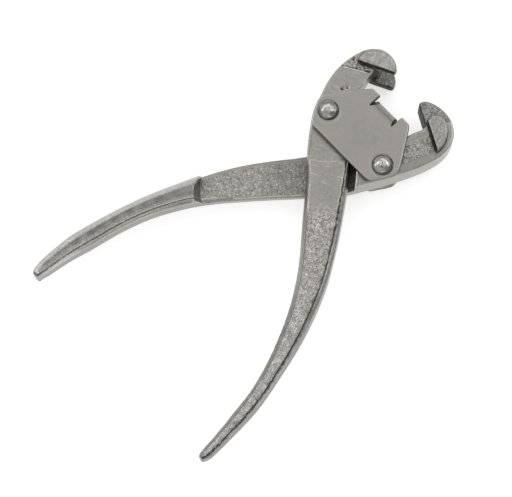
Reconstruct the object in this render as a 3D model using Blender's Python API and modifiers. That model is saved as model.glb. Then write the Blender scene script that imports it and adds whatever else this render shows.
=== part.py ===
"""Double-pivot clip-crimping pliers, in metres, +Z up out of the front face.

The origin is the centre of the anvil's working face. +Y points out of the jaws, and X runs along the line of the two rivets. Each lever turns on its own rivet between two plates, and the levers cross in a half lap. Lengths below are in millimetres. Outlines are drawn about the point midway between the rivets.
"""

import math

import bmesh
import bpy
from mathutils import Vector

MM = 0.001

# Layout
PIVOT_SPAN = 38.8  # between the two rivets
ANVIL_Y = 22.4  # from the line of the rivets to the anvil's working face
FORK_PIVOT = (-PIVOT_SPAN / 2, 0.0)
TONGUE_PIVOT = (PIVOT_SPAN / 2, 0.0)

# Thicknesses, as half heights about the middle plane
LEVER_HALF = 5.9
LAP_HALF_GAP = 0.2  # each lever's lap floor stops this far from the middle plane
PLATE_IN, PLATE_OUT = 6.2, 8.8
HEAD_HALF = 9.6  # over the half-moon bosses
HEAD_BACK = 10.6  # over the fork's back boss, which is the thicker one
RIM_HALF = 7.2  # over the step round the fork's half-moons
SLOT_HALF = 6.25  # between the prongs of the fork

# Rivets and pins
RIVET_R, RIVET_HOLE_R = 3.9, 4.2
HEAD_R, HEAD_H, HEAD_SKIRT, HEAD_LIFT = 5.2, 2.3, 0.5, 0.15
PIN_R, PIN_HOLE_R = 1.5, 1.8
PIN_AT = (5.7, 9.0)

# Jaws
JAW_ANGLE = math.radians(26.6)  # each jaw edge against the line of the rivets
SLOT_LENGTH = 8.6  # from the tip of the fork to the end of its slot

# Notch and lip of the plates
NOTCH_HALF, NOTCH_FLOOR = 7.6, 16.9
LIP_HALF, LIP_R, LIP_END = 7.15, 3.6, 4.0

# Lap: the near wall as a point and a direction, relieved under the plates, and the far end as a circle
LAP_NEAR = (10.5, -8.8)
LAP_NEAR_DIR = (0.668, -0.744)
LAP_RELIEF = (6.6, 9.0)
LAP_FAR, LAP_FAR_R = (-22.8, -65.6), 15.1
FORK_SPREAD = math.radians(5.2)  # how much wider the fork stands open than the tongue

# Outer and inner edges of the levers, from the jaw tip round to the root of the jaw
FORK_EDGE = [
    (-10.7, 37.5), (-11.4, 39.9), (-13.0, 41.5), (-15.1, 42.8), (-18.2, 43.9),
    (-21.4, 44.2), (-24.9, 43.5), (-27.8, 41.8), (-30.3, 39.3), (-32.0, 36.0),
    (-33.1, 32.2), (-33.7, 28.0), (-33.9, 22.8),
    (-33.4, 17.6), (-31.6, 10.5), (-28.5, 3.0), (-25.9, -3.3), (-21.8, -9.1),
    (-13.5, -19.1), (-0.7, -32.0), (14.0, -48.0), (30.3, -65.9), (40.3, -80.0),
    (47.4, -92.4), (53.7, -106.1), (59.0, -122.0), (62.0, -136.8), (64.3, -151.4),
    (65.2, -158.4), (66.1, -161.2), (67.8, -161.4), (69.2, -158.8), (69.4, -152.0),
    (68.9, -143.5), (68.1, -133.0), (66.3, -122.0), (62.4, -106.5), (59.0, -94.5),
    (54.8, -82.1), (50.2, -70.6), (45.3, -60.8), (35.8, -45.8), (23.4, -29.0),
    (11.6, -14.2), (0.8, -2.8), (-5.4, 2.8), (-11.6, 8.6), (-15.7, 14.0),
    (-17.7, 19.5), (-18.4, 23.2), (-19.6, 27.2), (-20.6, 32.7),
]
TONGUE_EDGE = [
    (7.2, 36.2), (7.4, 38.0), (8.7, 39.9), (11.0, 41.3), (14.3, 42.4),
    (18.0, 42.9), (21.8, 42.7), (25.6, 41.6), (28.8, 39.7), (31.6, 37.0),
    (33.6, 33.0), (34.6, 28.2), (34.4, 23.0), (33.1, 17.4), (31.2, 11.4),
    (28.7, 5.2), (26.0, -1.2), (23.0, -7.4), (19.8, -13.5), (16.2, -20.5),
    (3.8, -37.4), (-6.7, -50.1), (-14.9, -60.4), (-22.9, -70.8), (-28.4, -78.9),
    (-32.2, -85.6), (-38.8, -99.6), (-43.4, -115.4), (-46.2, -130.6), (-48.3, -141.0),
    (-49.6, -151.0), (-50.6, -157.6), (-52.2, -160.8), (-54.2, -160.6), (-56.1, -157.0),
    (-56.8, -151.0), (-57.0, -142.6), (-56.2, -131.7), (-53.2, -115.8), (-48.7, -98.0),
    (-42.8, -80.4), (-35.6, -62.2), (-28.5, -48.2), (-21.2, -36.8), (-11.3, -22.6),
    (-4.4, -9.2), (-0.2, -3.0), (5.4, 2.8), (11.4, 8.8), (14.9, 14.4),
    (15.9, 20.5), (17.0, 24.8), (18.2, 28.1), (18.2, 30.4),
]
FORK_BOSS = [
    (-28.7, 28.7), (-29.8, 31.0), (-30.0, 34.0), (-28.4, 37.2), (-25.4, 40.1),
    (-22.0, 41.9), (-18.6, 42.4), (-15.6, 41.6), (-12.9, 39.7), (-11.3, 37.4),
]
FORK_BACK_BOSS = [
    (-27.9, 27.1), (-29.6, 30.6), (-30.0, 34.0), (-28.4, 37.2), (-25.4, 40.1),
    (-22.0, 42.2), (-18.6, 42.9), (-15.6, 42.3), (-12.9, 40.8), (-10.9, 38.8),
    (-10.2, 37.2), (-10.5, 35.95),
]
FORK_RIM = [
    (-28.6, 28.8), (-30.9, 30.9), (-31.7, 33.6), (-30.9, 36.6), (-29.4, 39.1),
    (-27.4, 41.2), (-24.8, 42.9), (-21.4, 43.6), (-18.3, 43.4), (-15.2, 42.3),
    (-13.2, 41.0), (-11.7, 39.5), (-11.0, 37.55),
]
TONGUE_BOSS = [
    (17.3, 31.8), (17.0, 34.2), (17.8, 36.9), (20.0, 38.6), (22.4, 39.0),
    (25.2, 38.1), (27.9, 36.1), (30.4, 33.0), (31.8, 29.8), (32.4, 24.25),
]
# Right half of a plate, from the middle of its straight lower edge to the top of its tooth
PLATE_EDGE = [
    (0.0, -10.7), (16.6, -10.9), (19.2, -10.7), (21.4, -9.4), (23.4, -6.2),
    (25.6, -2.6), (27.1, 0.6), (27.1, 3.0), (25.2, 6.9), (21.4, 12.8),
    (17.6, 18.2), (14.2, 22.8), (13.2, 23.9), (12.2, 24.2), (7.7, 24.4),
]

LEVER_ROUND, BOSS_ROUND, PLATE_ROUND = 1.6, 0.8, 0.35


def clear_scene():
    for obj in list(bpy.data.objects):
        bpy.data.objects.remove(obj)


def collection(name):
    made = bpy.data.collections.new(name)
    bpy.context.scene.collection.children.link(made)
    return made


def material(name, colour, metallic, roughness):
    made = bpy.data.materials.new(name)
    made.use_nodes = True
    shader = made.node_tree.nodes["Principled BSDF"]
    shader.inputs["Base Color"].default_value = (*colour, 1.0)
    shader.inputs["Metallic"].default_value = metallic
    shader.inputs["Roughness"].default_value = roughness
    return made


def empty(name, at, parent=None):
    made = bpy.data.objects.new(name, None)
    made.empty_display_size = 0.01
    made.location = (at[0] * MM, at[1] * MM, 0.0)
    made.parent = parent
    PARTS.objects.link(made)
    return made


def spline(points, steps=3):
    """Points along a smooth curve through the given ones, which are kept."""
    made = []
    for i in range(len(points) - 1):
        p1, p2 = Vector(points[i]), Vector(points[i + 1])
        p0 = Vector(points[i - 1]) if i else 2 * p1 - p2
        p3 = Vector(points[i + 2]) if i + 2 < len(points) else 2 * p2 - p1
        # Uneven spacing: tangents scaled by the chord lengths on either side.
        d0, d1, d2 = (p1 - p0).length, (p2 - p1).length, (p3 - p2).length
        m1 = ((p1 - p0) / d0 * d1 + (p2 - p1) / d1 * d0) / (d0 + d1) * d1
        m2 = ((p2 - p1) / d1 * d2 + (p3 - p2) / d2 * d1) / (d1 + d2) * d1
        count = max(1, min(steps, round(d1 / 1.2)))
        for k in range(count):
            t = k / count
            a = 2 * t**3 - 3 * t**2 + 1
            b = t**3 - 2 * t**2 + t
            c = -2 * t**3 + 3 * t**2
            d = t**3 - t**2
            made.append(tuple(a * p1 + b * m1 + c * p2 + d * m2))
    made.append(points[-1])
    return made


def slab(name, outline, low, high, holder, about=(0.0, 0.0), into=None):
    """A flat outline between two heights, as a mesh whose caps are one face each. holder is its parent empty, which stands at about."""
    data = bpy.data.curves.new(name, "CURVE")
    data.dimensions = "2D"
    data.fill_mode = "BOTH"
    data.extrude = (high - low) / 2 * MM
    run = data.splines.new("POLY")
    run.points.add(len(outline) - 1)
    for point, (x, y) in zip(run.points, outline):
        point.co = ((x - about[0]) * MM, (y - about[1]) * MM, 0.0, 1.0)
    run.use_cyclic_u = True
    curve = bpy.data.objects.new(name + "_outline", data)
    PARTS.objects.link(curve)
    bpy.context.view_layer.update()
    graph = bpy.context.evaluated_depsgraph_get()
    mesh = bpy.data.meshes.new_from_object(curve.evaluated_get(graph))
    bpy.data.objects.remove(curve)
    shape = bmesh.new()
    shape.from_mesh(mesh)
    bmesh.ops.remove_doubles(shape, verts=shape.verts, dist=1e-6)
    bmesh.ops.translate(
        shape, verts=shape.verts, vec=(0.0, 0.0, (low + high) / 2 * MM)
    )
    bmesh.ops.dissolve_limit(
        shape, angle_limit=math.radians(0.5), verts=shape.verts, edges=shape.edges
    )
    bmesh.ops.recalc_face_normals(shape, faces=shape.faces)
    shape.to_mesh(mesh)
    shape.free()
    mesh.name = name
    made = bpy.data.objects.new(name, mesh)
    made.parent = holder
    (into or PARTS).objects.link(made)
    return made


def as_cutter(obj):
    obj.hide_render = True
    obj.display_type = "WIRE"
    return obj


def rod(name, radius, low, high, holder, at=(0.0, 0.0), sides=40):
    """A round cutter along Z."""
    shape = bmesh.new()
    bmesh.ops.create_cone(
        shape, cap_ends=True, segments=sides, radius1=radius * MM,
        radius2=radius * MM, depth=(high - low) * MM,
    )
    bmesh.ops.translate(
        shape, verts=shape.verts,
        vec=(at[0] * MM, at[1] * MM, (low + high) / 2 * MM),
    )
    mesh = bpy.data.meshes.new(name)
    shape.to_mesh(mesh)
    shape.free()
    made = bpy.data.objects.new(name, mesh)
    made.parent = holder
    CUTTERS.objects.link(made)
    return as_cutter(made)


def bevel(obj, width, segments=2, angle=60.0):
    mod = obj.modifiers.new("Rounded edges", "BEVEL")
    mod.width = width * MM
    mod.segments = segments
    mod.limit_method = "ANGLE"
    mod.angle_limit = math.radians(angle)
    mod.use_clamp_overlap = True
    mod.harden_normals = False


def boolean(obj, other, operation):
    mod = obj.modifiers.new(f"{operation.title()} {other.name}", "BOOLEAN")
    mod.operation = operation
    mod.solver = "EXACT"
    mod.object = other


def finish(obj, mat, angle=35.0):
    obj.data.materials.append(mat)
    obj.data.shade_smooth()
    obj.data.set_sharp_from_angle(angle=math.radians(angle))
    return obj


def turned(point, centre, angle):
    c, s = math.cos(angle), math.sin(angle)
    x, y = point[0] - centre[0], point[1] - centre[1]
    return (centre[0] + c * x - s * y, centre[1] + s * x + c * y)


def lap_outline():
    """The pocket that one lever leaves for the other, drawn for the tongue lever."""
    nx, ny = LAP_NEAR
    dx, dy = LAP_NEAR_DIR
    points = [(-5.5, 9.0), LAP_RELIEF, (nx - 2 * dx, ny - 2 * dy)]
    points += [(nx + 20 * dx, ny + 20 * dy), (26.0, -34.0)]
    across = math.atan2(-0.53, 0.85)
    for k in range(15):
        angle = across - math.pi * k / 14
        points.append(
            (
                LAP_FAR[0] + LAP_FAR_R * math.cos(angle),
                LAP_FAR[1] + LAP_FAR_R * math.sin(angle),
            )
        )
    return points


def lever(name, edge, bosses, pivot, holder, lap, lap_low, lap_high):
    """bosses are the raised shapes on the head, as (name, outline, side, half height)."""
    body = slab(name, spline(edge), -LEVER_HALF, LEVER_HALF, holder, pivot)
    bevel(body, LEVER_ROUND)
    for label, outline, side, half in bosses:
        low, high = sorted((side * (LEVER_HALF - 1.2), side * half))
        moon = slab(
            f"{name}_{label}", spline(outline), low, high, holder, pivot, CUTTERS
        )
        bevel(moon, BOSS_ROUND)
        boolean(body, as_cutter(moon), "UNION")
    pocket = slab(
        f"{name}_lap", lap, lap_low, lap_high, holder, pivot, CUTTERS
    )
    boolean(body, as_cutter(pocket), "DIFFERENCE")
    bore = rod(f"{name}_bore", RIVET_HOLE_R, -12.0, 12.0, holder)
    boolean(body, bore, "DIFFERENCE")
    return body


def plate(name, side, holder):
    """side is 1 for the front plate and -1 for the back one."""
    right = spline(PLATE_EDGE[1:-2], 2)
    right = [PLATE_EDGE[0]] + right + list(PLATE_EDGE[-2:])
    right += [(NOTCH_HALF, NOTCH_FLOOR)]
    left = [(-x, y) for x, y in reversed(right[1:])]
    low, high = sorted((side * PLATE_IN, side * PLATE_OUT))
    body = slab(name, right[1:] + left, low, high, holder)
    bevel(body, PLATE_ROUND, 1)
    # The lip is a bent strip: a profile in Y and Z, run along X.
    centre = (ANVIL_Y - LIP_R, PLATE_OUT - LIP_R)
    inner = LIP_R - (PLATE_OUT - PLATE_IN)
    profile = [(NOTCH_FLOOR - 1.5, PLATE_OUT)]
    for k in range(7):
        a = math.pi / 2 * (1 - k / 6)
        profile.append(
            (centre[0] + LIP_R * math.cos(a), centre[1] + LIP_R * math.sin(a))
        )
    profile.append((ANVIL_Y, LIP_END))
    profile.append((centre[0] + inner, LIP_END))
    for k in range(4):
        a = math.pi / 2 * k / 3
        profile.append(
            (centre[0] + inner * math.cos(a), centre[1] + inner * math.sin(a))
        )
    profile.append((NOTCH_FLOOR - 1.5, PLATE_IN))
    lip = slab(
        f"{name}_lip", profile, -LIP_HALF, LIP_HALF, holder, (0.0, 0.0), CUTTERS
    )
    # Stand the strip up: its drawn (x, y, z) becomes (z, x, side * y).
    for vertex in lip.data.vertices:
        x, y, z = vertex.co
        vertex.co = (z, x, side * y)
    shape = bmesh.new()
    shape.from_mesh(lip.data)
    bmesh.ops.recalc_face_normals(shape, faces=shape.faces)
    shape.to_mesh(lip.data)
    shape.free()
    boolean(body, as_cutter(lip), "UNION")
    for x in (-PIVOT_SPAN / 2, PIVOT_SPAN / 2):
        boolean(
            body,
            rod(f"{name}_rivet_hole_{'l' if x < 0 else 'r'}", RIVET_HOLE_R, -12.0, 12.0, holder, (x, 0.0)),
            "DIFFERENCE",
        )
    for x in (-PIN_AT[0], PIN_AT[0]):
        boolean(
            body,
            rod(f"{name}_pin_hole_{'l' if x < 0 else 'r'}", PIN_HOLE_R, -12.0, 12.0, holder, (x, PIN_AT[1]), 24),
            "DIFFERENCE",
        )
    return body


def rivet(name, at, holder):
    """Shank and two domed heads, turned about the pivot's axis."""
    profile = []
    base = PLATE_OUT + HEAD_LIFT
    dome_r = (HEAD_R**2 + HEAD_H**2) / (2 * HEAD_H)
    spread = math.asin(HEAD_R / dome_r)
    dome = []
    for k in range(7):
        a = spread * k / 6
        dome.append(
            (
                dome_r * math.sin(a),
                base + HEAD_SKIRT + HEAD_H - dome_r * (1 - math.cos(a)),
            )
        )
    profile += dome
    profile.append((HEAD_R, base))
    profile.append((RIVET_R, base))
    profile += [(x, -z) for x, z in reversed(profile)]
    mesh = bpy.data.meshes.new(name)
    mesh.from_pydata(
        [(x * MM, 0.0, z * MM) for x, z in profile],
        [(i, i + 1) for i in range(len(profile) - 1)],
        [],
    )
    made = bpy.data.objects.new(name, mesh)
    made.parent = holder
    made.location = (at[0] * MM, at[1] * MM, 0.0)
    PARTS.objects.link(made)
    mod = made.modifiers.new("Turned", "SCREW")
    mod.axis = "Z"
    mod.angle = math.tau
    mod.screw_offset = 0.0
    mod.steps = mod.render_steps = 36
    mod.use_merge_vertices = True
    mod.merge_threshold = 0.00001
    return made


def block(name, holder):
    """The anvil: its working face stands between the lips, and its shoulders run under them."""
    step, shoulder = LIP_END - 0.3, ANVIL_Y - LIP_R - 0.1
    half = [
        (0.0, 4.2), (5.0, 4.2), (8.8, 8.4), (8.8, 15.2), (LIP_HALF, 16.6),
    ]
    low = half[1:] + [(LIP_HALF, shoulder)]
    full = low + [(-x, y) for x, y in reversed(low)]
    body = slab(name, full, -LEVER_HALF + 0.1, LEVER_HALF - 0.1, holder)
    face = [
        (LIP_HALF, shoulder - 2.0), (LIP_HALF, ANVIL_Y),
        (-LIP_HALF, ANVIL_Y), (-LIP_HALF, shoulder - 2.0),
    ]
    rib = slab(f"{name}_face", face, -step, step, holder, (0.0, 0.0), CUTTERS)
    boolean(body, as_cutter(rib), "UNION")
    for x in (-PIN_AT[0], PIN_AT[0]):
        boolean(
            body,
            rod(f"{name}_pin_hole_{'l' if x < 0 else 'r'}", PIN_HOLE_R, -12.0, 12.0, holder, (x, PIN_AT[1]), 24),
            "DIFFERENCE",
        )
    return body


def pin(name, at, holder):
    shape = bmesh.new()
    bmesh.ops.create_cone(
        shape, cap_ends=True, segments=24, radius1=PIN_R * MM, radius2=PIN_R * MM,
        depth=2 * PLATE_OUT * MM,
    )
    mesh = bpy.data.meshes.new(name)
    shape.to_mesh(mesh)
    shape.free()
    made = bpy.data.objects.new(name, mesh)
    made.parent = holder
    made.location = (at[0] * MM, at[1] * MM, 0.0)
    PARTS.objects.link(made)
    bevel(made, 0.15, 1)
    return made


clear_scene()
PARTS = collection("crimping_pliers")
CUTTERS = collection("cutters")

forged = material("plated_forging", (0.30, 0.29, 0.27), 1.0, 0.42)
forged_dark = material("plated_forging_tongue", (0.27, 0.26, 0.245), 1.0, 0.46)
stamped = material("plated_stamping", (0.34, 0.325, 0.30), 1.0, 0.34)
stamped_back = material("plated_stamping_back", (0.34, 0.325, 0.30), 1.0, 0.36)
steel = material("anvil_steel", (0.22, 0.21, 0.20), 1.0, 0.5)
bright = material("rivet_steel", (0.50, 0.49, 0.46), 1.0, 0.22)
pin_steel = material("pin_steel", (0.36, 0.345, 0.32), 1.0, 0.3)

centre = empty("centre_assembly", (0.0, -ANVIL_Y))
fork_pivot = empty("fork_pivot", FORK_PIVOT, centre)
tongue_pivot = empty("tongue_pivot", TONGUE_PIVOT, centre)

tongue_lap = lap_outline()
fork_lap = [
    turned((-x, y), FORK_PIVOT, FORK_SPREAD) for x, y in reversed(tongue_lap)
]

fork = lever(
    "lever_fork",
    FORK_EDGE,
    [
        ("front_rim", FORK_RIM, 1, RIM_HALF),
        ("front_boss", FORK_BOSS, 1, HEAD_HALF),
        ("back_boss", FORK_BACK_BOSS, -1, HEAD_BACK),
    ],
    FORK_PIVOT, fork_pivot, fork_lap, -12.0, LAP_HALF_GAP,
)
# The slot between the prongs, open at the tip of the jaw.
tip = FORK_EDGE[0]
along = (-math.cos(JAW_ANGLE), -math.sin(JAW_ANGLE))
up = (along[1], -along[0])
corners = [(-6.0, -6.0), (SLOT_LENGTH, -6.0), (SLOT_LENGTH, 16.0), (-6.0, 16.0)]
slot = slab(
    "lever_fork_slot",
    [
        (tip[0] + a * along[0] + b * up[0], tip[1] + a * along[1] + b * up[1])
        for a, b in corners
    ],
    -SLOT_HALF, SLOT_HALF, fork_pivot, FORK_PIVOT, CUTTERS,
)
boolean(fork, as_cutter(slot), "DIFFERENCE")
finish(fork, forged)

tongue = lever(
    "lever_tongue",
    TONGUE_EDGE,
    [
        ("front_boss", TONGUE_BOSS, 1, HEAD_HALF),
        ("back_boss", TONGUE_BOSS, -1, HEAD_HALF),
    ],
    TONGUE_PIVOT, tongue_pivot, tongue_lap, -LAP_HALF_GAP, 12.0,
)
finish(tongue, forged_dark)

finish(plate("front_plate", 1, centre), stamped)
finish(plate("back_plate", -1, centre), stamped_back)
finish(block("anvil_block", centre), steel)
finish(rivet("rivet_fork", FORK_PIVOT, centre), bright, 50.0)
finish(rivet("rivet_tongue", TONGUE_PIVOT, centre), bright, 50.0)
finish(pin("anvil_pin_left", (-PIN_AT[0], PIN_AT[1]), centre), pin_steel)
finish(pin("anvil_pin_right", PIN_AT, centre), pin_steel)
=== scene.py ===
"""Looks of the double-pivot crimping pliers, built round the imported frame.

Each lever, plate and rivet is a new piece made from its solid: a fine closed mesh whose edges are worn in, whose handles take a forged section with a linished side, and whose skin is pitted, ground or satin by region. Lengths in the helpers are millimetres about the point midway between the rivets, as in the solids.
"""
import math

import bmesh
import bpy
import numpy as np
from mathutils import Matrix, Vector


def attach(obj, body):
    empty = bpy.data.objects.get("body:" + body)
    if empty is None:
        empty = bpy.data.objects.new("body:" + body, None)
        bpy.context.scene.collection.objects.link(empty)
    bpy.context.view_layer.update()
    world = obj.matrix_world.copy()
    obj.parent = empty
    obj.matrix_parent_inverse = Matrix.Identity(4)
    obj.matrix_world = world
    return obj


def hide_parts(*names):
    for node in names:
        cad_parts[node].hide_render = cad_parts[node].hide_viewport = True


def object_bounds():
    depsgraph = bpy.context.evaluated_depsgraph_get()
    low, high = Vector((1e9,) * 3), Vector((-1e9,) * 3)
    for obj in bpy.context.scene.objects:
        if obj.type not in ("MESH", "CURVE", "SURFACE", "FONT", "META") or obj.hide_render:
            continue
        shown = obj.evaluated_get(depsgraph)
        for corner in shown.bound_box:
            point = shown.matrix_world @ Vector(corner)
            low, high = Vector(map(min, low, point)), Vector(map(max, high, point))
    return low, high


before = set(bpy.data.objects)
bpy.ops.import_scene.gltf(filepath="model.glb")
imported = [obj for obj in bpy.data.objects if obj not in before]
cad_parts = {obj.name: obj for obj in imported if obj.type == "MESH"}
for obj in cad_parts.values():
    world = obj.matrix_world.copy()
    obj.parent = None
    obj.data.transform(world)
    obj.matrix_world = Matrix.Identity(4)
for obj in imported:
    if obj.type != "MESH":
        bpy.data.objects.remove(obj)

CAD_BOX = [list(v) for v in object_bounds()]
MM = 0.001
ANVIL_Y = 22.4
FORK_RIVET = np.array((-19.4, 0.0))
TONGUE_RIVET = np.array((19.4, 0.0))
HALF = 5.9
VIEW_AZ, VIEW_EL = 47.718, 72.0
ALONG_VIEW = np.array((math.cos(math.radians(VIEW_AZ)), math.sin(math.radians(VIEW_AZ))))


# ---------------------------------------------------------------- noise
_rng = np.random.default_rng(7)
_grads = _rng.normal(size=(256, 3))
_grads /= np.linalg.norm(_grads, axis=1)[:, None]


def _hash(i, j, k, seed):
    with np.errstate(over="ignore"):
        h = (
            i.astype(np.uint32) * np.uint32(374761393)
            + j.astype(np.uint32) * np.uint32(668265263)
            + k.astype(np.uint32) * np.uint32(2246822519)
            + np.uint32(seed * 3266489917 % 4294967296)
        )
        h = (h ^ (h >> np.uint32(15))) * np.uint32(2246822519)
        h = (h ^ (h >> np.uint32(13))) * np.uint32(3266489917)
    return (h ^ (h >> np.uint32(16))) & np.uint32(255)


def noise(p, size, seed=0):
    """Gradient noise, about -0.7 to 0.7, with features of the given size."""
    q = np.asarray(p, float) / size + 37.31
    base = np.floor(q)
    f = q - base
    base = base.astype(np.int64) + 100000
    u = f * f * f * (f * (f * 6 - 15) + 10)
    total = np.zeros(len(q))
    for di in (0, 1):
        for dj in (0, 1):
            for dk in (0, 1):
                h = _hash(base[:, 0] + di, base[:, 1] + dj, base[:, 2] + dk, seed)
                d = f - np.array((di, dj, dk))
                v = (_grads[h] * d).sum(1)
                w = (
                    (u[:, 0] if di else 1 - u[:, 0])
                    * (u[:, 1] if dj else 1 - u[:, 1])
                    * (u[:, 2] if dk else 1 - u[:, 2])
                )
                total += v * w
    return total


def smooth01(x, a, b):
    t = np.clip((x - a) / (b - a), 0, 1)
    return t * t * (3 - 2 * t)


# ---------------------------------------------------------------- mesh helpers
def fine_copy(name, voxel, plugs=()):
    """A closed even mesh of a CAD node's shape, as (points in mm about the pivots' middle, faces). plugs are (x, y, radius, low, high) of round plugs that close its small holes."""
    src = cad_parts[name].data.copy()
    shape = bmesh.new()
    shape.from_mesh(src)
    bmesh.ops.remove_doubles(shape, verts=shape.verts, dist=2e-6)
    for x, y, radius, low, high in plugs:
        bmesh.ops.create_cone(
            shape, cap_ends=True, segments=32, radius1=radius * MM, radius2=radius * MM, depth=(high - low) * MM,
            matrix=Matrix.Translation((x * MM, (y - ANVIL_Y) * MM, (low + high) / 2 * MM)),
        )
    shape.to_mesh(src)
    shape.free()
    tmp = bpy.data.objects.new("tmp_" + name, src)
    bpy.context.scene.collection.objects.link(tmp)
    mod = tmp.modifiers.new("Remesh", "REMESH")
    mod.mode = "VOXEL"
    mod.voxel_size = voxel * MM
    mod.adaptivity = 0.0
    bpy.context.view_layer.update()
    graph = bpy.context.evaluated_depsgraph_get()
    mesh = bpy.data.meshes.new_from_object(tmp.evaluated_get(graph))
    bpy.data.objects.remove(tmp)
    co = np.empty(len(mesh.vertices) * 3, np.float32)
    mesh.vertices.foreach_get("co", co)
    co = co.reshape(-1, 3).astype(float) / MM
    co[:, 1] += ANVIL_Y
    counts = np.empty(len(mesh.polygons), np.int32)
    mesh.polygons.foreach_get("loop_total", counts)
    loops = np.empty(len(mesh.loops), np.int32)
    mesh.loops.foreach_get("vertex_index", loops)
    if (counts != 4).any():
        faces = [tuple(p.vertices) for p in mesh.polygons]
        quads = np.array([f if len(f) == 4 else (*f, f[-1]) for f in faces])
    else:
        quads = loops.reshape(-1, 4)
    bpy.data.meshes.remove(mesh)
    return co, quads


def edges_of(quads):
    e = np.concatenate([quads[:, [0, 1]], quads[:, [1, 2]], quads[:, [2, 3]], quads[:, [3, 0]]])
    e = np.sort(e, axis=1)
    e = e[e[:, 0] != e[:, 1]]
    return np.unique(e, axis=0)


def neighbour_mean(co, edges):
    total = np.zeros_like(co)
    count = np.zeros(len(co))
    np.add.at(total, edges[:, 0], co[edges[:, 1]])
    np.add.at(total, edges[:, 1], co[edges[:, 0]])
    np.add.at(count, edges[:, 0], 1)
    np.add.at(count, edges[:, 1], 1)
    return total / (count[:, None] if co.ndim > 1 else count)


def relax(co, edges, rounds, share=0.5, where=None):
    for _ in range(rounds):
        mean = neighbour_mean(co, edges)
        step = (mean - co) * share
        if where is not None:
            step *= where[:, None]
        co = co + step
    return co


def spread(value, edges, rounds):
    for _ in range(rounds):
        value = 0.5 * value + 0.5 * neighbour_mean(value, edges)
    return value


def normals_of(co, quads):
    n = np.cross(co[quads[:, 2]] - co[quads[:, 0]], co[quads[:, 3]] - co[quads[:, 1]])
    total = np.zeros_like(co)
    for k in range(4):
        np.add.at(total, quads[:, k], n)
    length = np.linalg.norm(total, axis=1)
    length[length == 0] = 1
    return total / length[:, None]


def outline_of(name, height, flat=0.2):
    """Where a CAD node's upright walls cross a height: (starts, ends, outward directions) in mm."""
    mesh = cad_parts[name].data
    mesh.calc_loop_triangles()
    co = np.array([v.co for v in mesh.vertices]) / MM
    co[:, 1] += ANVIL_Y
    tri = co[np.array([t.vertices[:] for t in mesh.loop_triangles])]
    n = np.cross(tri[:, 1] - tri[:, 0], tri[:, 2] - tri[:, 0])
    length = np.linalg.norm(n, axis=1)
    tri, n = tri[length > 1e-9], n[length > 1e-9] / length[length > 1e-9][:, None]
    tri, n = tri[np.abs(n[:, 2]) < flat], n[np.abs(n[:, 2]) < flat]
    above = tri[:, :, 2] > height
    crossing = (above.sum(1) == 1) | (above.sum(1) == 2)
    tri, n, above = tri[crossing], n[crossing], above[crossing]
    starts, ends = [], []
    for t, up in zip(tri, above):
        pts = []
        for a, b in ((0, 1), (1, 2), (2, 0)):
            if up[a] != up[b]:
                s = (height - t[a, 2]) / (t[b, 2] - t[a, 2])
                pts.append(t[a, :2] + s * (t[b, :2] - t[a, :2]))
        starts.append(pts[0])
        ends.append(pts[1])
    return np.array(starts), np.array(ends), n[:, :2]


def to_outline(xy, outline):
    """Distance to the nearest wall and that wall's outward direction."""
    a, b, n = outline
    best = np.full(len(xy), 1e9)
    which = np.zeros(len(xy), int)
    d = b - a
    dd = np.maximum((d * d).sum(1), 1e-12)
    for start in range(0, len(xy), 20000):
        p = xy[start : start + 20000]
        rel = p[:, None, :] - a[None]
        t = np.clip((rel * d[None]).sum(2) / dd[None], 0, 1)
        off = rel - t[:, :, None] * d[None]
        dist = np.sqrt((off * off).sum(2))
        which[start : start + 20000] = dist.argmin(1)
        best[start : start + 20000] = dist.min(1)
    return best, n[which]


def new_piece(name, co, quads, body, replaced, mat, layers, smooth=True):
    pts = co.copy()
    pts[:, 1] -= ANVIL_Y
    pts = np.clip(pts, np.array(CAD_BOX[0]) / MM + 0.01, np.array(CAD_BOX[1]) / MM - 0.01)
    mesh = bpy.data.meshes.new(name)
    faces = [tuple(dict.fromkeys(f)) for f in quads.tolist()]
    mesh.from_pydata((pts * MM).tolist(), [], faces)
    mesh.update()
    mesh.shade_smooth()
    for key, values in layers.items():
        layer = mesh.attributes.new(key, "FLOAT", "POINT")
        layer.data.foreach_set("value", np.clip(values, -4, 4).astype(np.float32))
    mesh.materials.append(mat)
    obj = bpy.data.objects.new(name, mesh)
    bpy.context.scene.collection.objects.link(obj)
    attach(obj, body)
    if replaced:
        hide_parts(*replaced)
    return obj


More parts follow.
